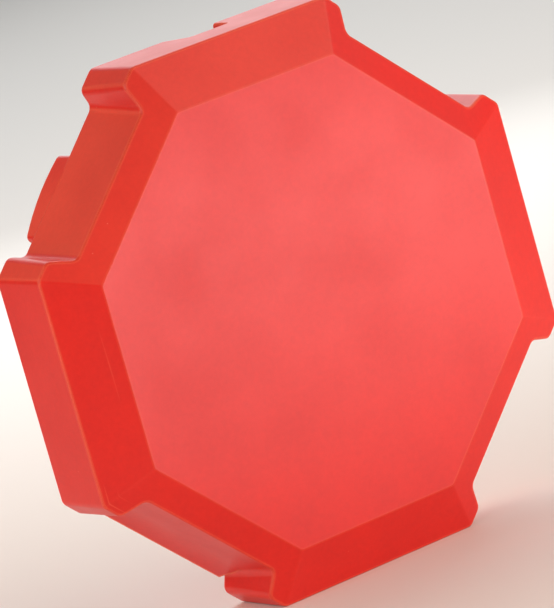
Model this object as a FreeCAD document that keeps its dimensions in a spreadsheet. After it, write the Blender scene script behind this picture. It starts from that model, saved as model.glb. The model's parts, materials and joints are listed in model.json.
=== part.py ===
import FreeCAD, Part
import math
import os

import Sketcher
from FreeCAD import Placement, Rotation, Vector

# Octagonal water-filled barrier block: a rotomoulded tank that stands on one of its flat
# sides, with a screwed filler and a drain plug on its rear.
# The tank is drawn with x to the right, y up and z out of the front face, which is at z = 0.
# Filler and drain parts are drawn with z pointing out of the rear, from the pad they sit on.

doc = FreeCAD.newDocument("barrier")

# driving sizes, in mm and degrees
sizes = {
    # tank
    "across_flats": 800,
    "face_flats": 646.8,
    "margin_angle": 23.9,
    "tank_depth": 155,
    "tank_wall": 6,
    "edge_radius": 4,
    "rear_radius": 7,
    "corner_radius": 13,
    # recesses in the four diagonal sides
    "recess_front": 363.6,
    "recess_rear": 375.3,
    "recess_half": 116,
    "recess_slope": 0.6,
    "recess_rear_slope": 0.46,
    "recess_reach": 20,
    "flare_height": 9,
    "flare_run": 62,
    # hand grip in the rear edge of the top side
    "grip_half": 46,
    "grip_reach": 48,
    "grip_sink": 42,
    "grip_slant": 26,
    # filler pad on the rear
    "filler_centre": 305,
    "pad_half": 66,
    "pad_shift": 20,
    "pad_rise": 35,
    "pad_outer": 375,
    "pad_inner": 236,
    "pad_radius": 9,
    "pad_rim": 3,
    "grip_corner": 7,
    "grip_rim": 3,
    # filler ring with its gasket and screws
    "ring_radius": 57,
    "ring_plate": 4,
    "ring_bore": 36.5,
    "ring_neck": 41,
    "neck_length": 17,
    "neck_gap": 0.6,
    "gasket_plate": 2,
    "screw_circle": 49,
    "screw_count": 6,
    "screw_shank": 2,
    "screw_length": 16,
    "screw_head": 4.2,
    "screw_rise": 2.4,
    "screw_socket": 1.5,
    "boss_radius": 5.5,
    "boss_height": 16,
    # filler cap and its seal
    "turning_gap": 0.06,
    "seat_gap": 0.3,
    "cap_radius": 43,
    "cap_plate": 5,
    "cap_spigot": 15,
    "cap_wall": 3,
    "cap_bar_half": 34,
    "cap_bar_width": 12,
    "cap_bar_rise": 12,
    "cap_lobe": 4,
    "cap_lobe_count": 12,
    "cap_seal_plate": 2.2,
    "cap_seal_radius": 41.5,
    # drain boss, insert, seal and plug
    "drain_drop": 338,
    "drain_pad": 41,
    "drain_rise": 8,
    "drain_bore": 24,
    "drain_sleeve": 29,
    "drain_sleeve_length": 24,
    "drain_flange": 35,
    "drain_plate": 3,
    "plug_spigot": 19,
    "plug_head": 30,
    "plug_plate": 6,
    "plug_hex_flats": 32,
    "plug_hex_rise": 12,
    "drain_seal_plate": 2.4,
    "drain_seal_radius": 29,
    # shallow dish that stiffens the rear
    "dish_flats": 410,
    "dish_depth": 9,
}

dims = doc.addObject("Spreadsheet::Sheet", "dims")
for row, (alias, value) in enumerate(sizes.items(), start=1):
    dims.set(f"A{row}", alias)
    dims.set(f"B{row}", str(value))
    dims.setAlias(f"B{row}", alias)
doc.recompute()

# sizes that follow from the driving ones, with the step inwards of the tank's cavity
formulas = {
    "outer": "dims.across_flats / 2",
    "outer_half": "dims.across_flats / 2 * tan(22.5 deg)",
    "face": "dims.face_flats / 2",
    "face_half": "dims.face_flats / 2 * tan(22.5 deg)",
    "margin": "(dims.across_flats - dims.face_flats) / 2 * tan(dims.margin_angle * 1 deg)",
    "reach": "dims.across_flats / 2 + dims.recess_reach",
    "front_half": "dims.recess_half - 1",
    "rear_half": "dims.recess_half + 2",
    "front_mouth": "front_half + dims.recess_slope * (reach - dims.recess_front)",
    "rear_mouth": "rear_half + dims.recess_rear_slope * (reach - dims.recess_rear)",
    "slope_run": "dims.tank_wall * sqrt(1 + dims.recess_slope ^ 2)",
    "half_step": "slope_run - dims.tank_wall * dims.recess_slope",
    "in_outer": "outer - dims.tank_wall",
    "in_outer_half": "in_outer * tan(22.5 deg)",
    "in_face": "face - dims.tank_wall * tan(dims.margin_angle / 2 * 1 deg)",
    "in_face_half": "in_face * tan(22.5 deg)",
    "in_margin": "margin + dims.tank_wall * tan((45 - dims.margin_angle / 2) * 1 deg)",
    "in_rear": "dims.tank_depth - dims.tank_wall",
    "in_front_recess": "dims.recess_front - dims.tank_wall",
    "in_rear_recess": "dims.recess_rear - dims.tank_wall",
    "in_front_half": "front_half + half_step",
    "in_rear_half": "rear_half + half_step",
    "in_front_mouth": "front_mouth + slope_run",
    "in_rear_mouth": "rear_mouth + slope_run",
    "flare_start": "dims.tank_depth - dims.flare_run",
    "flare_draft": "(dims.recess_rear - dims.recess_front) / dims.tank_depth",
    "flare_foot": "dims.recess_rear - flare_draft * dims.flare_run",
    "flare_top": "dims.recess_rear + dims.flare_height",
    "flare_root": "flare_foot - dims.tank_wall / 2",
    "flare_back": "dims.recess_rear - dims.tank_wall / 2",
    "flare_length": "2 * dims.recess_half",
    "flare_rise": "dims.flare_height + flare_draft * dims.flare_run",
    "flare_chord": "flare_rise ^ 2 + dims.flare_run ^ 2",
    "flare_radius": "flare_chord * sqrt(1 + flare_draft ^ 2) / (2 * dims.flare_height)",
    "grip_floor": "outer - dims.grip_sink",
    "grip_front": "dims.tank_depth - dims.grip_reach",
    "in_grip_floor": "grip_floor - dims.tank_wall",
    "in_grip_half": "dims.grip_half + dims.tank_wall",
    "in_grip_front": "grip_front - dims.tank_wall",
    "pad_face": "dims.tank_depth + dims.pad_rise",
    "pad_root": "dims.tank_depth - dims.rear_radius - 1",
    "in_pad_outer": "dims.pad_outer - dims.tank_wall - 2",
    "in_pad_inner": "dims.pad_inner + dims.tank_wall",
    "in_pad_face": "pad_face - dims.tank_wall",
    "in_pad_root": "in_rear - 2",
    "pad_low": "dims.pad_shift - dims.pad_half",
    "pad_high": "dims.pad_shift + dims.pad_half",
    "in_pad_low": "pad_low + dims.tank_wall",
    "in_pad_high": "pad_high - dims.tank_wall",
    "pad_length": "pad_face - pad_root",
    "in_pad_length": "in_pad_face - in_pad_root",
    "grip_beyond": "dims.tank_depth + 10",
    "grip_left": "dims.grip_half - dims.grip_slant",
    "in_grip_left": "in_grip_half - dims.grip_slant",
    "grip_cut": "reach - grip_floor",
    "in_grip_cut": "reach - in_grip_floor",
    "dish": "dims.dish_flats / 2",
    "dish_half": "dish * tan(22.5 deg)",
    "dish_floor": "dish - dims.dish_depth",
    "dish_floor_half": "dish_floor * tan(22.5 deg)",
    "dish_bottom": "dims.tank_depth - dims.dish_depth",
    "in_dish": "dish + dims.tank_wall * 0.4",
    "in_dish_half": "in_dish * tan(22.5 deg)",
    "in_dish_floor": "in_dish - dims.dish_depth",
    "in_dish_floor_half": "in_dish_floor * tan(22.5 deg)",
    "in_dish_bottom": "in_rear - dims.dish_depth",
    "neck_hole": "dims.ring_neck + dims.neck_gap",
    "gasket_bore": "neck_hole + 0.6",
    "ring_face": "dims.gasket_plate + dims.ring_plate",
    "neck_end": "dims.gasket_plate - dims.neck_length",
    "screw_gap": "dims.screw_shank + 0.3",
    "screw_deep": "ring_face - dims.screw_length",
    "pilot_length": "dims.boss_height - 3",
    "hole_depth": "dims.pad_rise + dims.tank_wall + 4",
    "screw_low": "ring_face + dims.screw_rise / 2",
    "screw_top": "ring_face + dims.screw_rise",
    "screw_crown": "dims.screw_head * 0.7",
    "screw_drive_depth": "dims.screw_rise * 0.6",
    "lobe_centre": "dims.cap_radius + dims.cap_lobe * 0.6",
    "bar_side": "dims.cap_bar_width / 2",
    "hex_flat": "dims.plug_hex_flats / 2",
    "hex_point": "hex_flat / cos(30 deg)",
    "hex_half": "hex_flat * tan(30 deg)",
    "seal_base": "ring_face + dims.seat_gap",
    "seal_top": "seal_base + dims.cap_seal_plate",
    "cap_base": "seal_top + dims.turning_gap",
    "cap_top": "cap_base + dims.cap_plate",
    "cap_end": "cap_base - dims.cap_spigot",
    "cap_spigot_radius": "dims.ring_bore - dims.turning_gap",
    "cap_inside": "cap_spigot_radius - dims.cap_wall",
    "drain_boss_length": "dims.tank_depth + dims.drain_rise - pad_root",
    "drain_face": "dims.tank_depth + dims.drain_rise",
    "drain_seal_base": "dims.drain_plate + dims.seat_gap",
    "drain_seal_top": "drain_seal_base + dims.drain_seal_plate",
    "plug_base": "drain_seal_top + dims.turning_gap",
    "plug_top": "plug_base + dims.plug_plate",
    "plug_end": "plug_base - dims.plug_spigot",
    "plug_radius": "dims.drain_bore - dims.turning_gap",
    "plug_bottom": "plug_base + 1",
    "plug_inside": "plug_radius - 4",
    "total_depth": "pad_face + cap_top + dims.cap_bar_rise",
}
worked = doc.addObject("App::VarSet", "worked")
for name, text in formulas.items():
    worked.addProperty("App::PropertyFloat", name)
    worked.setExpression(name, text)
doc.recompute()


def sheet(word):
    """The sheet's or the worked size a word names, as text for an expression."""
    return ("dims." if word in sizes else "worked.") + word


def value(term):
    """A signed size such as -outer, as a number."""
    if isinstance(term, (int, float)):
        return float(term)
    sign = -1.0 if term.startswith("-") else 1.0
    word = term.lstrip("-")
    return sign * float(getattr(dims if word in sizes else worked, word))


def bind(thing, where, term):
    if isinstance(term, str):
        sign = "-" if term.startswith("-") else ""
        thing.setExpression(where, sign + sheet(term.lstrip("-")))


def sketch_on(body, name, depth=0, turn=0.0, plane="XY_Plane"):
    """An empty sketch parallel to one of the body's planes, set back by a size."""
    sketch = body.newObject("Sketcher::SketchObject", name)
    origin = [part for part in body.Origin.OriginFeatures if part.Role == plane][0]
    sketch.AttachmentSupport = [(origin, "")]
    sketch.MapMode = "FlatFace"
    sketch.AttachmentOffset = Placement(Vector(0, 0, value(depth)), Rotation(Vector(0, 0, 1), turn))
    bind(sketch, "AttachmentOffset.Base.z", depth)
    return sketch


def fix_point(sketch, geometry, point, x, y):
    for kind, term in (("DistanceX", x), ("DistanceY", y)):
        index = sketch.addConstraint(Sketcher.Constraint(kind, -1, 1, geometry, point, value(term)))
        bind(sketch, f"Constraints[{index}]", term)


def outline(sketch, points):
    """A closed polygon whose corners are held at the sizes given."""
    count = len(points)
    spots = [Vector(value(x), value(y), 0) for x, y in points]
    for i in range(count):
        sketch.addGeometry(Part.LineSegment(spots[i], spots[(i + 1) % count]))
    for i in range(count):
        sketch.addConstraint(Sketcher.Constraint("Coincident", i, 2, (i + 1) % count, 1))
    for i, (x, y) in enumerate(points):
        fix_point(sketch, i, 1, x, y)


def circle(sketch, radius, x=0, y=0):
    index = sketch.addGeometry(Part.Circle(Vector(value(x), value(y), 0), Vector(0, 0, 1), value(radius)))
    if x == 0 and y == 0:
        sketch.addConstraint(Sketcher.Constraint("Coincident", index, 3, -1, 1))
    else:
        fix_point(sketch, index, 3, x, y)
    rule = sketch.addConstraint(Sketcher.Constraint("Radius", index, value(radius)))
    bind(sketch, f"Constraints[{rule}]", radius)


def octagon(apothem, half):
    corners = [(apothem, half), (half, apothem), ("-" + half, apothem), ("-" + apothem, half)]
    return corners + [("-" + x, "-" + y) if x[0] != "-" else (x[1:], "-" + y) for x, y in corners]


def feature(body, kind, name, **settings):
    made = body.newObject("PartDesign::" + kind, name)
    for key, setting in settings.items():
        setattr(made, key, setting)
    body.Tip = made
    return made


def pad(body, name, profile, length, backwards=True):
    made = feature(body, "Pad", name, Profile=profile, Length=value(length), Reversed=backwards)
    bind(made, "Length", length)
    return made


def pocket(body, name, profile, length, backwards=False):
    made = feature(body, "Pocket", name, Profile=profile, Length=value(length), Reversed=backwards)
    bind(made, "Length", length)
    return made


def turned(body, name, points, kind="Revolution"):
    """A solid, or a groove, turned about z from (radius, height) corners."""
    sketch = sketch_on(body, name + "_profile", plane="XZ_Plane")
    outline(sketch, points)
    return feature(body, kind, name, Profile=sketch, ReferenceAxis=(sketch, ["V_Axis"]), Angle=360)


def new_body(name):
    body = doc.addObject("PartDesign::Body", name)
    body.Label = name
    return body


def diagonal(turn):
    return Placement(Vector(0, 0, 0), Rotation(Vector(0, 0, 1), turn))


# ---------------------------------------------------------------- tank
def tank_block(name, inner):
    """The octagonal block with its recesses, grip and pads, as the skin or as the cavity."""
    step = "in_" if inner else ""
    block = new_body(name)
    start = "tank_wall" if inner else 0
    face = sketch_on(block, name + "_face", "-" + start if inner else 0)
    outline(face, octagon(step + "face", step + "face_half"))
    edge = sketch_on(block, name + "_edge", "-" + step + "margin")
    outline(edge, octagon(step + "outer", step + "outer_half"))
    feature(block, "AdditiveLoft", name + "_margin", Profile=face, Sections=[edge], Ruled=True)
    rear = sketch_on(block, name + "_rear", "-in_rear" if inner else "-tank_depth")
    outline(rear, octagon(step + "outer", step + "outer_half"))
    feature(block, "AdditiveLoft", name + "_sides", Profile=edge, Sections=[rear], Ruled=True)

    for turn in (45, 135, 225, 315):
        front = sketch_on(block, f"{name}_recess_front_{turn}", 0, turn)
        outline(front, recess(step, "front"))
        back = sketch_on(block, f"{name}_recess_rear_{turn}", "-tank_depth", turn)
        outline(back, recess(step, "rear"))
        feature(block, "SubtractiveLoft", f"{name}_recess_{turn}", Profile=front, Sections=[back], Ruled=True)

    rim = sketch_on(block, name + "_dish_rim", "-in_rear" if inner else "-tank_depth")
    outline(rim, octagon(step + "dish", step + "dish_half"))
    floor = sketch_on(block, name + "_dish_floor", "-" + step + "dish_bottom")
    outline(floor, octagon(step + "dish_floor", step + "dish_floor_half"))
    feature(block, "SubtractiveLoft", name + "_dish", Profile=rim, Sections=[floor], Ruled=True)
    return block


def recess(step, end):
    floor = step + end + "_recess" if step else "recess_" + end
    half = step + end + "_half"
    mouth = step + end + "_mouth"
    return [(floor, "-" + half), ("reach", "-" + mouth), ("reach", mouth), (floor, half)]


def rounded(name, base):
    """Soft corners along the depth, softer edges round the rear and finer ones on the face."""
    made = doc.addObject("Part::Fillet", name)
    made.Label = name
    made.Base = base
    edges = []
    for number, edge in enumerate(base.Shape.Edges, start=1):
        rise = abs(edge.Vertexes[0].Point.z - edge.Vertexes[-1].Point.z)
        deep = rise > value("margin") / 2 and edge.Length > value("margin")
        at_rear = edge.BoundBox.ZMax < 0.01 - value("tank_depth")
        outside = edge.CenterOfMass.Length > value("recess_front") - 1
        size = "corner_radius" if deep else "rear_radius" if at_rear and outside else "edge_radius"
        radius = value(size)
        edges.append((number, radius, radius))
    made.Edges = edges
    return made


def soften(body, name, radius, chosen):
    """Round the edges of a body's last feature that a test picks."""
    doc.recompute()
    last = body.Tip
    names = [f"Edge{number}" for number, edge in enumerate(last.Shape.Edges, start=1) if chosen(edge)]
    made = feature(body, "Fillet", name, Base=(last, names), Radius=value(radius))
    bind(made, "Radius", radius)


def runs_deep(edge):
    return abs(edge.Vertexes[0].Point.z - edge.Vertexes[-1].Point.z) > 5


def lies_at(depth):
    """A test for edges that lie flat at one depth."""
    level = -value(depth)
    return lambda edge: max(abs(edge.BoundBox.ZMin - level), abs(edge.BoundBox.ZMax - level)) < 0.01


def inside_grip(edge):
    """The grip's corners that stay inside the tank, away from its open top and rear."""
    box = edge.BoundBox
    return box.YMin < value("outer") - 1 and box.ZMax > -value("tank_depth") + 1


def on_grip_mouth(edge):
    """The rim that the grip leaves in the tank's top and rear."""
    middle = edge.valueAt((edge.FirstParameter + edge.LastParameter) / 2)
    beside = abs(middle.x) < value("grip_half") + 1 and middle.y > value("grip_floor") - 1
    on_top = edge.BoundBox.YMin > value("outer") - 0.01
    on_rear = edge.BoundBox.ZMax < 0.01 - value("tank_depth")
    return beside and middle.z < 1 - value("grip_front") and (on_top or on_rear)


def add_flare(block):
    """The lower left recess sweeps outwards towards its rear edge."""
    sketch = sketch_on(block, "flare_outline", 0, 0, "XZ_Plane")
    sketch.AttachmentOffset = Placement(Vector(0, 0, 0), Rotation(Vector(0, 1, 0), 225))
    start = Vector(value("flare_foot"), -value("flare_start"), 0)
    end = Vector(value("flare_top"), -value("tank_depth"), 0)
    # an arc that leaves the recess floor along its draft and ends at the rear edge
    radius = value("flare_radius")
    outwards = Vector(1, value("flare_draft"), 0).normalize()
    centre = start.add(outwards.multiply(radius))
    first = math.atan2(start.y - centre.y, start.x - centre.x) % (2 * math.pi)
    last = math.atan2(end.y - centre.y, end.x - centre.x) % (2 * math.pi)
    arc = Part.ArcOfCircle(Part.Circle(centre, Vector(0, 0, 1), radius), first, last)
    curve = sketch.addGeometry(arc)
    back = sketch.addGeometry(Part.LineSegment(end, Vector(value("flare_back"), -value("tank_depth"), 0)))
    inside = sketch.addGeometry(Part.LineSegment(Vector(value("flare_back"), -value("tank_depth"), 0),
                                                 Vector(value("flare_root"), -value("flare_start"), 0)))
    front = sketch.addGeometry(Part.LineSegment(Vector(value("flare_root"), -value("flare_start"), 0), start))
    sketch.addConstraint(Sketcher.Constraint("Coincident", curve, 2, back, 1))
    sketch.addConstraint(Sketcher.Constraint("Coincident", back, 2, inside, 1))
    sketch.addConstraint(Sketcher.Constraint("Coincident", inside, 2, front, 1))
    sketch.addConstraint(Sketcher.Constraint("Coincident", front, 2, curve, 1))
    fix_point(sketch, back, 1, "flare_top", "-tank_depth")
    fix_point(sketch, inside, 1, "flare_back", "-tank_depth")
    fix_point(sketch, front, 1, "flare_root", "-flare_start")
    fix_point(sketch, curve, 1, "flare_foot", "-flare_start")
    rule = sketch.addConstraint(Sketcher.Constraint("Radius", curve, radius))
    bind(sketch, f"Constraints[{rule}]", "flare_radius")
    made = pad(block, "flare", sketch, "flare_length", backwards=False)
    made.Midplane = True


def add_grip(block, inner):
    """The hand grip in the top side's rear edge, with one slanted end."""
    step = "in_" if inner else ""
    half = step + "grip_half"
    floor = step + "grip_floor"
    front = step + "grip_front"
    sketch = sketch_on(block, step + "grip_outline", 0, 0, "XZ_Plane")
    sketch.AttachmentOffset = Placement(Vector(0, 0, -value("reach")), Rotation())
    bind(sketch, "AttachmentOffset.Base.z", "-reach")
    points = [("-" + half, "-grip_beyond"), (half, "-grip_beyond"), (half, "-" + front),
              ("-" + step + "grip_left", "-" + front)]
    outline(sketch, points)
    depth = "in_grip_cut" if inner else "grip_cut"
    pad(block, step + "grip", sketch, depth, backwards=False)


def add_pad(block, inner):
    """The raised pad under the filler, bowed to follow the tank's rim."""
    step = "in_" if inner else ""
    sketch = sketch_on(block, step + "pad_outline", "-" + ("pad_root" if not inner else "in_pad_root"), 135)
    low = value(step + "pad_low")
    high = value(step + "pad_high")
    outer = value(step + "pad_outer")
    inside = value(step + "pad_inner")
    corners = [
        Vector(inside, low, 0),
        Vector(math.sqrt(outer ** 2 - low ** 2), low, 0),
        Vector(math.sqrt(outer ** 2 - high ** 2), high, 0),
        Vector(inside, high, 0),
    ]
    sketch.addGeometry(Part.LineSegment(corners[0], corners[1]))
    bow = Part.Circle(Vector(0, 0, 0), Vector(0, 0, 1), outer)
    sketch.addGeometry(Part.ArcOfCircle(bow, math.asin(low / outer), math.asin(high / outer)))
    sketch.addGeometry(Part.LineSegment(corners[2], corners[3]))
    sketch.addGeometry(Part.LineSegment(corners[3], corners[0]))
    for first, end, second, start in ((0, 2, 1, 1), (1, 2, 2, 1), (2, 2, 3, 1), (3, 2, 0, 1)):
        sketch.addConstraint(Sketcher.Constraint("Coincident", first, end, second, start))
    sketch.addConstraint(Sketcher.Constraint("Coincident", 1, 3, -1, 1))
    sketch.addConstraint(Sketcher.Constraint("Horizontal", 0))
    sketch.addConstraint(Sketcher.Constraint("Horizontal", 2))
    sketch.addConstraint(Sketcher.Constraint("Vertical", 3))
    rule = sketch.addConstraint(Sketcher.Constraint("Radius", 1, outer))
    bind(sketch, f"Constraints[{rule}]", step + "pad_outer")
    fix_point(sketch, 0, 1, step + "pad_inner", step + "pad_low")
    rule = sketch.addConstraint(Sketcher.Constraint("DistanceY", -1, 1, 3, 1, high))
    bind(sketch, f"Constraints[{rule}]", step + "pad_high")
    return pad(block, step + "pad", sketch, step + "pad_length")


def primitive(kind, name, **settings):
    made = doc.addObject("Part::" + kind, name)
    made.Label = name
    for key, setting in settings.items():
        if key == "Placement":
            made.Placement = setting
        else:
            setattr(made, key, value(setting))
            bind(made, key, setting)
    return made


def joined(kind, name, *shapes):
    made = doc.addObject("Part::" + kind, name)
    made.Label = name
    if kind == "Cut":
        made.Base, made.Tool = shapes
    else:
        made.Shapes = list(shapes)
    return made


def around(circle_size, count, first=0.0):
    """Spots evenly spaced on a circle."""
    radius = value(circle_size)
    angles = [math.radians(first + 360 * i / count) for i in range(count)]
    return [(radius * math.cos(a), radius * math.sin(a)) for a in angles]


rearwards = Rotation(Vector(0, 1, 0), 180)
filler_angle = math.radians(135)
filler_x = value("filler_centre") * math.cos(filler_angle) - value("pad_shift") * math.sin(filler_angle)
filler_y = value("filler_centre") * math.sin(filler_angle) + value("pad_shift") * math.cos(filler_angle)
# the row stands on its lowest side, with its depth centred on the origin
upright = Placement(Vector(0, -value("total_depth") / 2, value("outer")), Rotation(Vector(1, 0, 0), 90))
filler_seat = Placement(Vector(filler_x, filler_y, -value("pad_face")), rearwards)
drain_seat = Placement(Vector(0, -value("drain_drop"), -value("drain_face")), rearwards)

tank_block_outside = tank_block("tank_block", False)
doc.recompute()
tank_edges = rounded("tank_edges", tank_block_outside)

flare = new_body("recess_flare")
add_flare(flare)
filler_pad = new_body("filler_pad")
add_pad(filler_pad, False)
soften(filler_pad, "pad_corners", "pad_radius", runs_deep)
soften(filler_pad, "pad_edge", "pad_rim", lies_at("pad_face"))
drain_pad = new_body("drain_pad")
drain_disc = sketch_on(drain_pad, "drain_disc", "-pad_root")
circle(drain_disc, "drain_pad", 0, "-drain_drop")
pad(drain_pad, "drain_boss", drain_disc, "drain_boss_length")
soften(drain_pad, "drain_edge", "pad_rim", lies_at("drain_face"))
hand_grip = new_body("hand_grip")
add_grip(hand_grip, False)
soften(hand_grip, "grip_corners", "grip_corner", inside_grip)
tank_solid = joined("MultiFuse", "tank_solid", tank_edges, flare, filler_pad, drain_pad)
tank_cut = joined("Cut", "tank_cut", tank_solid, hand_grip)
doc.recompute()
tank_skin = doc.addObject("Part::Fillet", "tank_skin")
tank_skin.Label = "tank_skin"
tank_skin.Base = tank_cut
tank_skin.Edges = [(number, value("grip_rim"), value("grip_rim"))
                   for number, edge in enumerate(tank_cut.Shape.Edges, start=1) if on_grip_mouth(edge)]

tank_cavity = tank_block("tank_cavity", True)
add_pad(tank_cavity, True)
grip_wall = new_body("grip_wall")
add_grip(grip_wall, True)

# bosses inside the pad that the filler's screws bite into, each with its pilot hole
bosses = []
pilots = []
for i, (x, y) in enumerate(around("screw_circle", int(value("screw_count")), 15)):
    foot = filler_seat.multVec(Vector(x, y, -value("boss_height")))
    bosses.append(primitive("Cylinder", f"boss_{i}", Radius="boss_radius", Height="boss_height",
                            Placement=Placement(foot, rearwards)))
    foot = filler_seat.multVec(Vector(x, y, -value("pilot_length")))
    pilots.append(primitive("Cylinder", f"pilot_{i}", Radius="screw_shank", Height="pilot_length",
                            Placement=Placement(foot, rearwards)))

neck_hole = primitive("Cylinder", "neck_hole", Radius="neck_hole", Height="hole_depth",
                      Placement=Placement(filler_seat.multVec(Vector(0, 0, -value("hole_depth"))), rearwards))
drain_hole = primitive("Cylinder", "drain_hole", Radius="drain_sleeve", Height="hole_depth",
                       Placement=Placement(drain_seat.multVec(Vector(0, 0, -value("hole_depth"))), rearwards))

solid_inside = joined("MultiFuse", "solid_inside", grip_wall, *bosses)
tank_space = joined("Cut", "tank_space", tank_cavity, solid_inside)
hollows = joined("MultiFuse", "hollows", tank_space, *pilots, neck_hole, drain_hole)
tank_shell = joined("Cut", "tank_shell", tank_skin, hollows)


# ---------------------------------------------------------------- filler
def ring_profile(inner, outer, base, top):
    return [(inner, base), (outer, base), (outer, top), (inner, top)]


filler_gasket = new_body("filler_gasket")
turned(filler_gasket, "gasket_ring", ring_profile("gasket_bore", "ring_radius", 0, "gasket_plate"))

filler_ring = new_body("filler_ring")
turned(filler_ring, "ring_body", [
    ("ring_bore", "neck_end"),
    ("ring_neck", "neck_end"),
    ("ring_neck", "gasket_plate"),
    ("ring_radius", "gasket_plate"),
    ("ring_radius", "ring_face"),
    ("ring_bore", "ring_face"),
])

for body, base, length in ((filler_gasket, 0, "gasket_plate"), (filler_ring, "gasket_plate", "ring_plate")):
    holes = sketch_on(body, body.Name + "_screw_hole", base)
    x, y = around("screw_circle", 1, 15)[0]
    hole = holes.addGeometry(Part.Circle(Vector(x, y, 0), Vector(0, 0, 1), value("screw_gap")))
    ray = holes.addGeometry(Part.LineSegment(Vector(0, 0, 0), Vector(x, y, 0)), True)
    holes.addConstraint(Sketcher.Constraint("Coincident", ray, 1, -1, 1))
    holes.addConstraint(Sketcher.Constraint("Coincident", ray, 2, hole, 3))
    rule = holes.addConstraint(Sketcher.Constraint("Distance", ray, value("screw_circle")))
    bind(holes, f"Constraints[{rule}]", "screw_circle")
    holes.addConstraint(Sketcher.Constraint("Angle", ray, math.radians(15)))
    rule = holes.addConstraint(Sketcher.Constraint("Radius", hole, value("screw_gap")))
    bind(holes, f"Constraints[{rule}]", "screw_gap")
    cut = pocket(body, body.Name + "_hole", holes, length, backwards=True)
    pattern = feature(body, "PolarPattern", body.Name + "_holes", Originals=[cut], Angle=360,
                      Axis=(holes, ["N_Axis"]), Occurrences=int(value("screw_count")))
    pattern.setExpression("Occurrences", "dims.screw_count")

screw = new_body("screw")
turned(screw, "screw_body", [
    (0, "screw_deep"),
    ("screw_shank", "screw_deep"),
    ("screw_shank", "ring_face"),
    ("screw_head", "ring_face"),
    ("screw_head", "screw_low"),
    ("screw_crown", "screw_top"),
    (0, "screw_top"),
])
socket = sketch_on(screw, "screw_socket_outline", "screw_top")
corners = [(value("screw_socket") * math.cos(math.radians(60 * i)),
            value("screw_socket") * math.sin(math.radians(60 * i))) for i in range(6)]
outline(socket, corners)
pocket(screw, "screw_drive", socket, "screw_drive_depth")

screws = []
for i, (x, y) in enumerate(around("screw_circle", int(value("screw_count")), 15)):
    copy = doc.addObject("App::Link", f"ring_screw_{i}")
    copy.LinkedObject = screw
    copy.Placement = Placement(Vector(x, y, 0), Rotation())
    screws.append(copy)
ring_screws = doc.addObject("Part::Compound", "ring_screws")
ring_screws.Label = "ring_screws"
ring_screws.Links = screws

cap_seal = new_body("cap_seal")
turned(cap_seal, "cap_seal_ring", ring_profile("ring_bore", "cap_seal_radius", "seal_base", "seal_top"))

filler_cap = new_body("filler_cap")
turned(filler_cap, "cap_body", [
    (0, "cap_base"),
    ("cap_inside", "cap_base"),
    ("cap_inside", "cap_end"),
    ("cap_spigot_radius", "cap_end"),
    ("cap_spigot_radius", "cap_base"),
    ("cap_radius", "cap_base"),
    ("cap_radius", "cap_top"),
    (0, "cap_top"),
])
lobe = sketch_on(filler_cap, "lobe_outline", "cap_base")
circle(lobe, "cap_lobe", "lobe_centre", 0)
lobe_cut = pocket(filler_cap, "lobe", lobe, "cap_plate", backwards=True)
lobes = feature(filler_cap, "PolarPattern", "lobes", Originals=[lobe_cut], Angle=360,
                Axis=(lobe, ["N_Axis"]), Occurrences=int(value("cap_lobe_count")))
lobes.setExpression("Occurrences", "dims.cap_lobe_count")
bar = sketch_on(filler_cap, "bar_outline", "cap_top")
outline(bar, [("-cap_bar_half", "-bar_side"), ("cap_bar_half", "-bar_side"), ("cap_bar_half", "bar_side"),
              ("-cap_bar_half", "bar_side")])
pad(filler_cap, "grip_bar", bar, "cap_bar_rise", backwards=False)

# ---------------------------------------------------------------- drain
drain_insert = new_body("drain_insert")
turned(drain_insert, "insert_body", [
    ("drain_bore", "-drain_sleeve_length"),
    ("drain_sleeve", "-drain_sleeve_length"),
    ("drain_sleeve", 0),
    ("drain_flange", 0),
    ("drain_flange", "drain_plate"),
    ("drain_bore", "drain_plate"),
])

drain_seal = new_body("drain_seal")
turned(drain_seal, "drain_seal_ring",
       ring_profile("drain_bore", "drain_seal_radius", "drain_seal_base", "drain_seal_top"))

drain_plug = new_body("drain_plug")
turned(drain_plug, "plug_body", [
    (0, "plug_bottom"),
    ("plug_inside", "plug_bottom"),
    ("plug_inside", "plug_end"),
    ("plug_radius", "plug_end"),
    ("plug_radius", "plug_base"),
    ("plug_head", "plug_base"),
    ("plug_head", "plug_top"),
    (0, "plug_top"),
])
hexagon = sketch_on(drain_plug, "hexagon", "plug_top")
outline(hexagon, [("hex_point", 0), ("hex_half", "hex_flat"), ("-hex_half", "hex_flat"), ("-hex_point", 0),
                  ("-hex_half", "-hex_flat"), ("hex_half", "-hex_flat")])
pad(drain_plug, "plug_hex", hexagon, "plug_hex_rise", backwards=False)

# ---------------------------------------------------------------- assembly
tank_shell.Placement = upright
for body in (filler_gasket, filler_ring, ring_screws, cap_seal, filler_cap):
    body.Placement = upright.multiply(filler_seat)
for body in (drain_insert, drain_seal, drain_plug):
    body.Placement = upright.multiply(drain_seat)
doc.recompute()

nodes = [tank_shell, filler_gasket, filler_ring, ring_screws, cap_seal, filler_cap, drain_insert, drain_seal,
         drain_plug]
for made in doc.Objects:
    if "Invalid" in made.State or "Error" in made.State:
        raise SystemExit(f"{made.Label} failed: {made.State}")
for node in nodes:
    if node.Shape.isNull() or not node.Shape.isValid() or not node.Shape.Solids:
        raise SystemExit(f"{node.Label} has no valid solid")

os.makedirs("parts", exist_ok=True)
for node in nodes:
    node.Shape.exportStep(f"parts/{node.Label}.step")
    print(node.Label, len(node.Shape.Solids), round(node.Shape.Volume))
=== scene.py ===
import json
import math

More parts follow.
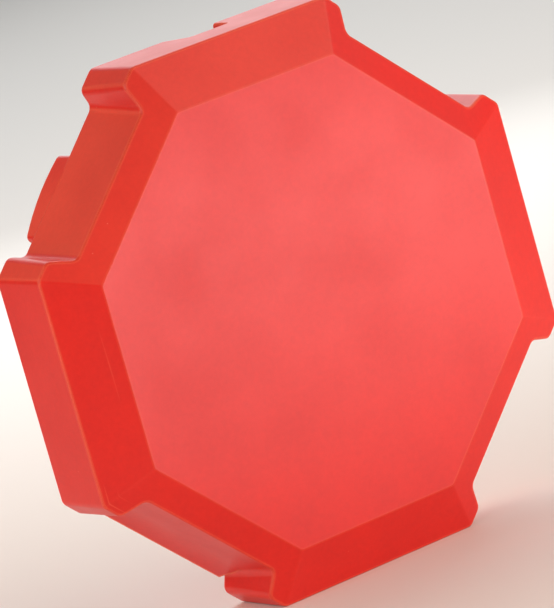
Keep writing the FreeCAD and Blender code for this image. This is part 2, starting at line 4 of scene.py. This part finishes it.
import bpy
from mathutils import Euler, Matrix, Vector


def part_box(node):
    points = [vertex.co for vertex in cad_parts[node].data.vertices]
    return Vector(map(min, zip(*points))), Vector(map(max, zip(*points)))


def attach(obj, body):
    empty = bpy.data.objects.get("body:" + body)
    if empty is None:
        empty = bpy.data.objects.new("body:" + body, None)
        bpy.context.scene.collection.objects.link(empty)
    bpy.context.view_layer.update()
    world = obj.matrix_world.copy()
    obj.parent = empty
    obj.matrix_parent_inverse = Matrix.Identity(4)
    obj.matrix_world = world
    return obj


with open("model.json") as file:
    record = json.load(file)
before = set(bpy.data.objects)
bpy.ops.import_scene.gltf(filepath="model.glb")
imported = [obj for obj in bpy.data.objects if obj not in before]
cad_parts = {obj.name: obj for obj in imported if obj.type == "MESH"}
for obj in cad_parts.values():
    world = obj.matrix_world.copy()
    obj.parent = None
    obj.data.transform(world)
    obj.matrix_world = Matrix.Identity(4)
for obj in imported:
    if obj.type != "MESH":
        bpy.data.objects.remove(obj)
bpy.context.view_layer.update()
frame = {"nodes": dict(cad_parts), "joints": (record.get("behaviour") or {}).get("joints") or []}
nodes = frame["nodes"]
jointPlaces = {joint["name"]: joint.get("pos_m") for joint in frame["joints"]}
print("frame loaded with", len(nodes), "nodes")

millimetre = 0.001


# helpers for colours and nodes
def linearColour(hexText):
    parts = [int(hexText[i:i + 2], 16) / 255 for i in (1, 3, 5)]
    straight = [c / 12.92 if c <= 0.04045 else ((c + 0.055) / 1.055) ** 2.4 for c in parts]
    return (*straight, 1.0)


def perMetre(patchInMillimetres):
    return 1000 / patchInMillimetres  # a pattern's scale, from the real size of one patch


def addNode(tree, kind, settings=None, links=None):
    node = tree.nodes.new(kind)
    for name, value in (settings or {}).items():
        if isinstance(name, int) or name in node.inputs:
            node.inputs[name].default_value = value
        else:
            setattr(node, name, value)
    for name, source in (links or {}).items():
        tree.links.new(source, node.inputs[name])
    return node


def newMaterial(name):
    material = bpy.data.materials.new(name)
    material.use_nodes = True
    tree = material.node_tree
    tree.nodes.clear()
    shader = addNode(tree, "ShaderNodeBsdfPrincipled")
    addNode(tree, "ShaderNodeOutputMaterial", links={"Surface": shader.outputs["BSDF"]})
    place = addNode(tree, "ShaderNodeTexCoord").outputs["Object"]
    return material, tree, shader, place


# tank: polyethylene powder melted against a hot steel mould, which leaves a satin skin with
# faint clouds in the pigment, an orange peel a few millimetres across, and a painted highlight on the edges
tankLook = {
    "red": "#e92216",
    "deepRed": "#d0160d",
    # the next colour is a painted highlight for the edges, not a colour of the resin
    "edgeHighlight": "#f8865c",
    "speck": "#f6a58e",
    "scratch": "#f2674c",
    "cloudSize": 130,  # mm, as are the other sizes, widths and heights
    "cloudRange": (0.36, 0.64),
    "grainSize": 8.0,
    "grainShare": 2.4,  # times the clouds' share of the tone
    "toneStrength": 0.32,
    "peelSize": 5.5,
    "peelHeight": 0.06,
    "waveSize": 210,
    "waveHeight": 1.4,
    "edgeWidth": 6.0,
    "edgeStrength": 0.6,
    "edgeRange": (0.999, 0.965),  # cosine of the turn at an edge, from flat to the full painted highlight
    "speckSpacing": 30,
    "speckSize": 0.9,
    "speckThreshold": 0.55,  # the colour of a cell above which it holds a speck
    "scratchLength": 150,
    "scratchWidth": 1.5,
    "scratchTurn": (0.5, 0.9, 0.25),  # radians
    "scratchRange": (0.82, 0.86),
    "scratchStrength": 0.4,
    "scratchDulling": 0.2,
    "satinRange": (0.3, 0.7),
    "smoothest": 0.33,
    "roughest": 0.42,
    "ior": 1.51,
}


def rotomouldedPolyethylene():
    look = tankLook
    material, tree, shader, place = newMaterial("rotomoulded red polyethylene")
    cloud = addNode(tree, "ShaderNodeTexNoise",
                    {"Scale": perMetre(look["cloudSize"]), "Detail": 3.0, "Roughness": 0.55},
                    {"Vector": place}).outputs["Fac"]
    grain = addNode(tree, "ShaderNodeTexNoise",
                    {"Scale": perMetre(look["grainSize"]), "Detail": 3.0, "Roughness": 0.75},
                    {"Vector": place}).outputs["Fac"]
    cloudTone = addNode(tree, "ShaderNodeMapRange",
                        {"From Min": look["cloudRange"][0], "From Max": look["cloudRange"][1]},
                        {"Value": cloud}).outputs["Result"]
    tone = addNode(tree, "ShaderNodeMath", {"operation": "MULTIPLY_ADD", 1: look["grainShare"]},
                   {0: grain, 2: cloudTone}).outputs["Value"]
    depth = addNode(tree, "ShaderNodeMath", {"operation": "MULTIPLY", 1: look["toneStrength"]},
                    {0: tone}).outputs["Value"]
    body = addNode(tree, "ShaderNodeMix",
                   {"data_type": "RGBA", 6: linearColour(look["red"]), 7: linearColour(look["deepRed"])},
                   {0: depth}).outputs[2]

    # painted highlight: the edges are painted paler, standing in for the glint they catch from the lamps
    soft = addNode(tree, "ShaderNodeBevel", {"samples": 6, "Radius": look["edgeWidth"] * millimetre})
    surface = addNode(tree, "ShaderNodeNewGeometry")
    flatness = addNode(tree, "ShaderNodeVectorMath", {"operation": "DOT_PRODUCT"},
                       {0: soft.outputs["Normal"], 1: surface.outputs["Normal"]}).outputs["Value"]
    edgeHighlightShare = addNode(tree, "ShaderNodeMapRange",
                     {"From Min": look["edgeRange"][0], "From Max": look["edgeRange"][1],
                      "To Max": look["edgeStrength"]},
                     {"Value": flatness}).outputs["Result"]
    edged = addNode(tree, "ShaderNodeMix", {"data_type": "RGBA", 7: linearColour(look["edgeHighlight"])},
                    {0: edgeHighlightShare, 6: body}).outputs[2]

    # specks of unmelted natural powder
    cells = addNode(tree, "ShaderNodeTexVoronoi", {"Scale": perMetre(look["speckSpacing"])},
                    {"Vector": place})
    reach = look["speckSize"] / look["speckSpacing"] / 2
    dot = addNode(tree, "ShaderNodeMapRange", {"From Min": reach * 1.5, "From Max": reach * 0.7},
                  {"Value": cells.outputs["Distance"]}).outputs["Result"]
    chosen = addNode(tree, "ShaderNodeMath", {"operation": "GREATER_THAN", 1: look["speckThreshold"]},
                     {0: cells.outputs["Color"]}).outputs["Value"]
    speck = addNode(tree, "ShaderNodeMath", {"operation": "MULTIPLY"},
                    {0: dot, 1: chosen}).outputs["Value"]
    speckled = addNode(tree, "ShaderNodeMix", {"data_type": "RGBA", 7: linearColour(look["speck"])},
                       {0: speck, 6: edged}).outputs[2]

    # long fine scratches from stacking, only where the clouds are dense
    streakPlace = addNode(tree, "ShaderNodeMapping",
                          {"Rotation": look["scratchTurn"],
                           "Scale": (perMetre(look["scratchLength"]), perMetre(look["scratchWidth"]),
                                     perMetre(look["scratchLength"]))},
                          {"Vector": place}).outputs["Vector"]
    streak = addNode(tree, "ShaderNodeTexNoise", {"Scale": 1.0, "Detail": 0.0},
                     {"Vector": streakPlace}).outputs["Fac"]
    thin = addNode(tree, "ShaderNodeMapRange",
                   {"From Min": look["scratchRange"][0], "From Max": look["scratchRange"][1],
                    "To Max": look["scratchStrength"]},
                   {"Value": streak}).outputs["Result"]
    scratch = addNode(tree, "ShaderNodeMath", {"operation": "MULTIPLY"},
                      {0: thin, 1: cloudTone}).outputs["Value"]
    worn = addNode(tree, "ShaderNodeMix", {"data_type": "RGBA", 7: linearColour(look["scratch"])},
                   {0: scratch, 6: speckled}).outputs[2]
    tree.links.new(worn, shader.inputs["Base Color"])

    # satin skin, a little duller where it is scratched
    satin = addNode(tree, "ShaderNodeMapRange",
                    {"From Min": look["satinRange"][0], "From Max": look["satinRange"][1],
                     "To Min": look["smoothest"], "To Max": look["roughest"]},
                    {"Value": cloud}).outputs["Result"]
    rough = addNode(tree, "ShaderNodeMath", {"operation": "MULTIPLY_ADD", 1: look["scratchDulling"]},
                    {0: scratch, 2: satin}).outputs["Value"]
    tree.links.new(rough, shader.inputs["Roughness"])

    # the sheet's slow waves, and orange peel over them
    wave = addNode(tree, "ShaderNodeTexNoise",
                   {"Scale": perMetre(look["waveSize"]), "Detail": 0.0}, {"Vector": place})
    peel = addNode(tree, "ShaderNodeTexNoise",
                   {"Scale": perMetre(look["peelSize"]), "Detail": 2.0}, {"Vector": place})
    waveBump = addNode(tree, "ShaderNodeBump",
                       {"Strength": 1.0, "Distance": look["waveHeight"] * millimetre},
                       {"Height": wave.outputs["Fac"]})
    peelBump = addNode(tree, "ShaderNodeBump",
                       {"Strength": 1.0, "Distance": look["peelHeight"] * millimetre},
                       {"Height": peel.outputs["Fac"], "Normal": waveBump.outputs["Normal"]})
    tree.links.new(peelBump.outputs["Normal"], shader.inputs["Normal"])
    shader.inputs["IOR"].default_value = look["ior"]
    return material


# fittings: polypropylene injected into a spark-eroded mould, black and evenly matt, with a
# machined-looking thread only on the walls that turn in each other
fittingLook = {
    "black": "#191a1c",
    "dust": "#34322f",
    "dustSize": 26,  # mm, as are the other sizes and heights
    "dustRange": (0.45, 0.75),
    "dustStrength": 0.6,
    "grainSize": 1.3,  # the real grain is about a tenth of this and would not show
    "grainHeight": 0.05,
    "threadHeight": 0.9,
    "wallTolerance": 0.15,
    "smoothest": 0.38,
    "roughest": 0.5,
    "ior": 1.49,
}
threads = {
    "filler": {"centre": jointPlaces["cap_turn"], "radius": 36.5, "pitch": 4.0, "starts": 3},
    "drain": {"centre": jointPlaces["drain_turn"], "radius": 24.0, "pitch": 5.0, "starts": 1},
}


def mouldedPolypropylene(use):
    look = fittingLook
    thread = threads[use]
    material, tree, shader, place = newMaterial("injection moulded black polypropylene, " + use)
    dust = addNode(tree, "ShaderNodeTexNoise",
                   {"Scale": perMetre(look["dustSize"]), "Detail": 5.0, "Roughness": 0.6},
                   {"Vector": place}).outputs["Fac"]
    dusty = addNode(tree, "ShaderNodeMapRange",
                    {"From Min": look["dustRange"][0], "From Max": look["dustRange"][1],
                     "To Max": look["dustStrength"]},
                    {"Value": dust}).outputs["Result"]
    colour = addNode(tree, "ShaderNodeMix",
                     {"data_type": "RGBA", 6: linearColour(look["black"]), 7: linearColour(look["dust"])},
                     {0: dusty}).outputs[2]
    tree.links.new(colour, shader.inputs["Base Color"])
    rough = addNode(tree, "ShaderNodeMapRange",
                    {"To Min": look["smoothest"], "To Max": look["roughest"]},
                    {"Value": dust}).outputs["Result"]
    tree.links.new(rough, shader.inputs["Roughness"])

    # height of a point above its thread's root, from its turn about the fitting's axis
    centred = addNode(tree, "ShaderNodeVectorMath",
                      {"operation": "SUBTRACT", 1: (thread["centre"][0], 0.0, thread["centre"][2])},
                      {0: place}).outputs["Vector"]
    axes = addNode(tree, "ShaderNodeSeparateXYZ", links={"Vector": centred})
    turn = addNode(tree, "ShaderNodeMath", {"operation": "ARCTAN2"},
                   {0: axes.outputs["X"], 1: axes.outputs["Z"]}).outputs["Value"]
    helix = addNode(tree, "ShaderNodeMath",
                    {"operation": "MULTIPLY", 1: -thread["starts"] / (2 * math.pi)},
                    {0: turn}).outputs["Value"]
    rise = addNode(tree, "ShaderNodeMath",
                   {"operation": "MULTIPLY_ADD", 1: perMetre(thread["pitch"])},
                   {0: axes.outputs["Y"], 2: helix}).outputs["Value"]
    flank = addNode(tree, "ShaderNodeMath", {"operation": "PINGPONG", 1: 0.5},
                    {0: rise}).outputs["Value"]
    acrossX = addNode(tree, "ShaderNodeMath", {"operation": "POWER", 1: 2.0},
                      {0: axes.outputs["X"]}).outputs["Value"]
    acrossZ = addNode(tree, "ShaderNodeMath", {"operation": "POWER", 1: 2.0},
                      {0: axes.outputs["Z"]}).outputs["Value"]
    across = addNode(tree, "ShaderNodeMath", {"operation": "ADD"},
                     {0: acrossX, 1: acrossZ}).outputs["Value"]
    radius = addNode(tree, "ShaderNodeMath", {"operation": "SQRT"}, {0: across}).outputs["Value"]
    onWall = addNode(tree, "ShaderNodeMath",
                     {"operation": "COMPARE", 1: thread["radius"] * millimetre,
                      2: look["wallTolerance"] * millimetre},
                     {0: radius}).outputs["Value"]
    ridge = addNode(tree, "ShaderNodeMath", {"operation": "MULTIPLY"},
                    {0: flank, 1: onWall}).outputs["Value"]
    threadBump = addNode(tree, "ShaderNodeBump",
                         {"Strength": 1.0, "Distance": look["threadHeight"] * millimetre},
                         {"Height": ridge}).outputs["Normal"]
    grain = addNode(tree, "ShaderNodeTexNoise",
                    {"Scale": perMetre(look["grainSize"]), "Detail": 1.0},
                    {"Vector": place}).outputs["Fac"]
    grainBump = addNode(tree, "ShaderNodeBump",
                        {"Strength": 1.0, "Distance": look["grainHeight"] * millimetre},
                        {"Height": grain, "Normal": threadBump}).outputs["Normal"]
    tree.links.new(grainBump, shader.inputs["Normal"])
    shader.inputs["IOR"].default_value = look["ior"]
    return material


# seals: EPDM rubber cut from sheet, dark and dull with a grey bloom of talc
sealLook = {
    "rubber": "#1d1d1c",
    "bloom": "#4a4946",
    "bloomSize": 9,  # mm
    "bloomRange": (0.45, 0.8),
    "bloomHeight": 0.04,
    "roughness": 0.78,
    "ior": 1.52,
}


def dieCutRubber():
    look = sealLook
    material, tree, shader, place = newMaterial("die-cut EPDM rubber")
    bloom = addNode(tree, "ShaderNodeTexNoise",
                    {"Scale": perMetre(look["bloomSize"]), "Detail": 6.0, "Roughness": 0.65},
                    {"Vector": place}).outputs["Fac"]
    patch = addNode(tree, "ShaderNodeMapRange",
                    {"From Min": look["bloomRange"][0], "From Max": look["bloomRange"][1]},
                    {"Value": bloom}).outputs["Result"]
    colour = addNode(tree, "ShaderNodeMix",
                     {"data_type": "RGBA", 6: linearColour(look["rubber"]), 7: linearColour(look["bloom"])},
                     {0: patch}).outputs[2]
    tree.links.new(colour, shader.inputs["Base Color"])
    bump = addNode(tree, "ShaderNodeBump",
                   {"Strength": 1.0, "Distance": look["bloomHeight"] * millimetre},
                   {"Height": bloom}).outputs["Normal"]
    tree.links.new(bump, shader.inputs["Normal"])
    shader.inputs["Roughness"].default_value = look["roughness"]
    shader.inputs["IOR"].default_value = look["ior"]
    return material


# screws: cold-headed stainless steel, bright with fine tumbling marks
screwLook = {
    "steel": "#bdbab4",
    "stain": "#8f8a82",
    "markSize": 0.8,  # mm
    "markHeight": 0.02,
    "smoothest": 0.22,
    "roughest": 0.4,
}


def tumbledStainless():
    look = screwLook
    material, tree, shader, place = newMaterial("cold-headed stainless steel")
    marks = addNode(tree, "ShaderNodeTexNoise",
                    {"Scale": perMetre(look["markSize"]), "Detail": 3.0}, {"Vector": place}).outputs["Fac"]
    colour = addNode(tree, "ShaderNodeMix",
                     {"data_type": "RGBA", 6: linearColour(look["steel"]), 7: linearColour(look["stain"])},
                     {0: marks}).outputs[2]
    tree.links.new(colour, shader.inputs["Base Color"])
    rough = addNode(tree, "ShaderNodeMapRange",
                    {"To Min": look["smoothest"], "To Max": look["roughest"]},
                    {"Value": marks}).outputs["Result"]
    tree.links.new(rough, shader.inputs["Roughness"])
    bump = addNode(tree, "ShaderNodeBump",
                   {"Strength": 1.0, "Distance": look["markHeight"] * millimetre},
                   {"Height": marks}).outputs["Normal"]
    tree.links.new(bump, shader.inputs["Normal"])
    shader.inputs["Metallic"].default_value = 1.0
    return material


tankPlastic = rotomouldedPolyethylene()
fillerPlastic = mouldedPolypropylene("filler")
drainPlastic = mouldedPolypropylene("drain")
sealRubber = dieCutRubber()
screwSteel = tumbledStainless()
finishes = {
    "tank_shell": tankPlastic,
    "filler_gasket": sealRubber,
    "filler_ring": fillerPlastic,
    "ring_screws": screwSteel,
    "cap_seal": sealRubber,
    "filler_cap": fillerPlastic,
    "drain_insert": drainPlastic,
    "drain_seal": sealRubber,
    "drain_plug": drainPlastic,
}
for name, node in nodes.items():
    node.data.materials.clear()
    node.data.materials.append(finishes[name])
print("finishes given to", len(finishes), "nodes")

# two raised arrows on the filler cap, moulded with it, that point the way it screws shut
arrowSizes = {
    "middleRadius": 37.2,  # mm
    "bandWidth": 1.8,
    "rise": 0.9,
    "sunk": 0.3,
    "barRise": 12.0,
    "sweep": 40.0,  # degrees
    "steps": 12,
    "headStart": 0.2,  # mm, the step in which the band widens
    "headWidth": 2.6,  # times the band's width
    "headLength": 4.5,
    "softening": 0.2,
    "softeningSteps": 2,
    "smoothUnder": 30.0,  # degrees
    "endTolerance": 0.5,
    "mergeWithin": 0.01,
}


def modelCapArrow(name, bearing):
    sizes = arrowSizes
    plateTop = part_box("filler_cap")[1].y - sizes["barRise"] * millimetre
    thick = (sizes["rise"] + sizes["sunk"]) * millimetre
    radius = sizes["middleRadius"] * millimetre
    bpy.ops.object.select_all(action="DESELECT")
    bpy.ops.mesh.primitive_plane_add(size=1, location=(radius, 0, 0), rotation=(math.radians(90), 0, 0))
    piece = bpy.context.object
    piece.name = name
    piece.scale = (sizes["bandWidth"] * millimetre, thick, 1)
    bpy.ops.object.transform_apply(location=True, rotation=True, scale=True)
    bpy.ops.object.mode_set(mode="EDIT")
    bpy.ops.mesh.select_all(action="SELECT")
    bpy.ops.mesh.spin(steps=sizes["steps"], angle=math.radians(sizes["sweep"]), center=(0, 0, 0),
                      axis=(0, 0, 1))
    bpy.ops.object.mode_set(mode="OBJECT")
    endAngle = max((math.atan2(v.co.y, v.co.x) for v in piece.data.vertices), key=abs)
    along = Vector((-math.sin(endAngle), math.cos(endAngle), 0)) * math.copysign(1, endAngle)
    outwards = Vector((math.cos(endAngle), math.sin(endAngle), 0))
    # the head: the end face pushed on, widened and closed to a point
    bpy.ops.object.mode_set(mode="EDIT")
    bpy.ops.mesh.select_mode(type="FACE")
    bpy.ops.mesh.select_all(action="DESELECT")
    bpy.ops.object.mode_set(mode="OBJECT")
    for face in piece.data.polygons:
        angle = math.atan2(face.center.y, face.center.x)
        face.select = abs(angle - endAngle) < math.radians(sizes["endTolerance"])
    bpy.ops.object.mode_set(mode="EDIT")
    bpy.ops.mesh.extrude_region_move(
        TRANSFORM_OT_translate={"value": tuple(along * sizes["headStart"] * millimetre)})
    bpy.ops.object.mode_set(mode="OBJECT")
    for vertex in piece.data.vertices:
        if vertex.select:
            reach = vertex.co.dot(outwards) - radius
            vertex.co += outwards * reach * (sizes["headWidth"] - 1)
    bpy.ops.object.mode_set(mode="EDIT")
    bpy.ops.mesh.extrude_region_move(
        TRANSFORM_OT_translate={"value": tuple(along * sizes["headLength"] * millimetre)})
    bpy.ops.mesh.merge(type="CENTER")
    bpy.ops.mesh.select_mode(type="VERT")
    bpy.ops.mesh.select_all(action="DESELECT")
    bpy.ops.mesh.select_non_manifold()
    bpy.ops.mesh.edge_face_add()
    bpy.ops.mesh.select_all(action="SELECT")
    bpy.ops.mesh.remove_doubles(threshold=sizes["mergeWithin"] * millimetre)
    bpy.ops.mesh.normals_make_consistent(inside=False)
    bpy.ops.object.mode_set(mode="OBJECT")
    bevel = piece.modifiers.new("softening", "BEVEL")
    bevel.width = sizes["softening"] * millimetre
    bevel.segments = sizes["softeningSteps"]
    bevel.limit_method = "ANGLE"
    bpy.ops.object.modifier_apply(modifier=bevel.name)
    # turned to lie on the cap, whose axis runs along y
    piece.rotation_euler = Euler((math.radians(-90), 0, 0))
    bpy.ops.object.transform_apply(location=False, rotation=True, scale=False)
    piece.rotation_euler = Euler((0, math.radians(bearing), 0))
    bpy.ops.object.transform_apply(location=False, rotation=True, scale=False)
    centre = jointPlaces["cap_turn"]
    piece.location = (centre[0], plateTop + thick / 2 - sizes["sunk"] * millimetre, centre[2])
    bpy.ops.object.transform_apply(location=True, rotation=False, scale=False)
    bpy.ops.object.shade_smooth_by_angle(angle=math.radians(sizes["smoothUnder"]))
    piece.data.materials.append(fillerPlastic)
    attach(piece, "cap")
    return piece


arrowBearings = {"capArrowLeft": 20, "capArrowRight": 200}
capArrows = [modelCapArrow(name, bearing) for name, bearing in arrowBearings.items()]
print("modelled", len(capArrows), "cap arrows")

# camera, aimed as a long lens across the room
cameraPlace = {
    "position": (-3.84505, -6.68551, 1.84891),
    "turn": (78.9153, 15.5329, -32.8903),
    "lens": 326.06,
    "farthest": 100,
}
cameraData = bpy.data.cameras.new("studioCamera")
cameraData.lens = cameraPlace["lens"]
cameraData.clip_end = cameraPlace["farthest"]
camera = bpy.data.objects.new("studioCamera", cameraData)
camera.location = cameraPlace["position"]
camera.rotation_euler = Euler([math.radians(a) for a in cameraPlace["turn"]])
bpy.context.scene.collection.objects.link(camera)
bpy.context.scene.camera = camera
print("camera placed")

# floor, wide enough to fill the main view behind the block
floorLook = {"size": 40, "paint": "#e6e5e2", "roughness": 0.8, "grainSize": 4, "grainHeight": 0.02}
bpy.ops.object.select_all(action="DESELECT")
bpy.ops.mesh.primitive_plane_add(size=floorLook["size"], location=(0, 0, 0))
floor = bpy.context.object
floor.name = "studioFloor"
floorPaint, floorTree, floorShader, floorPlace = newMaterial("rolled matt emulsion")
floorGrain = addNode(floorTree, "ShaderNodeTexNoise",
                     {"Scale": perMetre(floorLook["grainSize"]), "Detail": 2.0},
                     {"Vector": floorPlace}).outputs["Fac"]
floorBump = addNode(floorTree, "ShaderNodeBump",
                    {"Strength": 1.0, "Distance": floorLook["grainHeight"] * millimetre},
                    {"Height": floorGrain}).outputs["Normal"]
floorTree.links.new(floorBump, floorShader.inputs["Normal"])
floorShader.inputs["Base Color"].default_value = linearColour(floorLook["paint"])
floorShader.inputs["Roughness"].default_value = floorLook["roughness"]
floor.data.materials.append(floorPaint)

# softboxes round the block, placed by bearing right of the front and height angle in degrees,
# and distance in metres; "down" turns one to face the floor
blockCentre = Vector((0, 0, 0.4))
softboxes = {
    "frontRight": {"bearing": 38, "height": 14, "distance": 4.0, "size": (3.4, 2.7), "watts": 38,
                   "colour": "#ffffff"},
    "lowStrip": {"bearing": 30, "height": -5, "distance": 1.7, "size": (2.2, 0.46), "watts": 11,
                 "colour": "#ffffff"},
    "highRight": {"bearing": 42, "height": 38, "distance": 3.8, "size": (3.0, 1.6), "watts": 37,
                  "colour": "#ffd6ae"},
    "frontHigh": {"bearing": -4, "height": 25, "distance": 3.4, "size": (1.5, 0.9), "watts": 12,
                  "colour": "#ffd0a2"},
    "left": {"bearing": -100, "height": 20, "distance": 3.4, "size": (2.6, 2.4), "watts": 16,
             "colour": "#ffffff"},
    "leftFront": {"bearing": -66, "height": 26, "distance": 3.4, "size": (1.8, 1.8), "watts": 25,
                  "colour": "#ffffff"},
    "leftBack": {"bearing": -140, "height": 35, "distance": 3.4, "size": (2.4, 2.4), "watts": 32,
                 "colour": "#ffbf8f"},
    "lowLeft": {"bearing": -78, "height": -4, "distance": 1.9, "size": (1.2, 0.6), "watts": 5,
                "colour": "#ffd2ae"},
    "back": {"bearing": 135, "height": 50, "distance": 3.6, "size": (3.0, 1.8), "watts": 48,
             "colour": "#ffffff"},
    "rightBack": {"bearing": 150, "height": 20, "distance": 3.4, "size": (2.8, 1.6), "watts": 21,
                  "colour": "#ffffff"},
    "farFloor": {"bearing": 152, "height": 25, "distance": 5.6, "size": (6.0, 6.0), "watts": 85,
                 "colour": "#ffffff", "spread": 110, "down": True},
}
for name, box in softboxes.items():
    bearing = math.radians(box["bearing"])
    height = math.radians(box["height"])
    away = Vector((math.sin(bearing) * math.cos(height), -math.cos(bearing) * math.cos(height),
                   math.sin(height)))
    lampData = bpy.data.lights.new(name, "AREA")
    lampData.shape = "RECTANGLE"
    lampData.size, lampData.size_y = box["size"]
    lampData.energy = box["watts"]
    lampData.color = linearColour(box["colour"])[:3]
    lamp = bpy.data.objects.new(name, lampData)
    lamp.location = blockCentre + away * box["distance"]
    lamp.rotation_euler = (-away).to_track_quat("-Z", "Y").to_euler()
    if box.get("down"):
        lamp.rotation_euler = (0, 0, 0)
        lampData.spread = math.radians(box["spread"])
    lamp.visible_camera = False
    bpy.context.scene.collection.objects.link(lamp)
print("lit with", len(softboxes), "softboxes")

roomLook = {"paint": "#ffffff", "strength": 0.1}
room = bpy.data.worlds.new("studioRoom")
bpy.context.scene.world = room
room.use_nodes = True
roomLight = room.node_tree.nodes["Background"]
roomLight.inputs["Color"].default_value = linearColour(roomLook["paint"])
roomLight.inputs["Strength"].default_value = roomLook["strength"]
bpy.context.scene.view_settings.view_transform = "Standard"
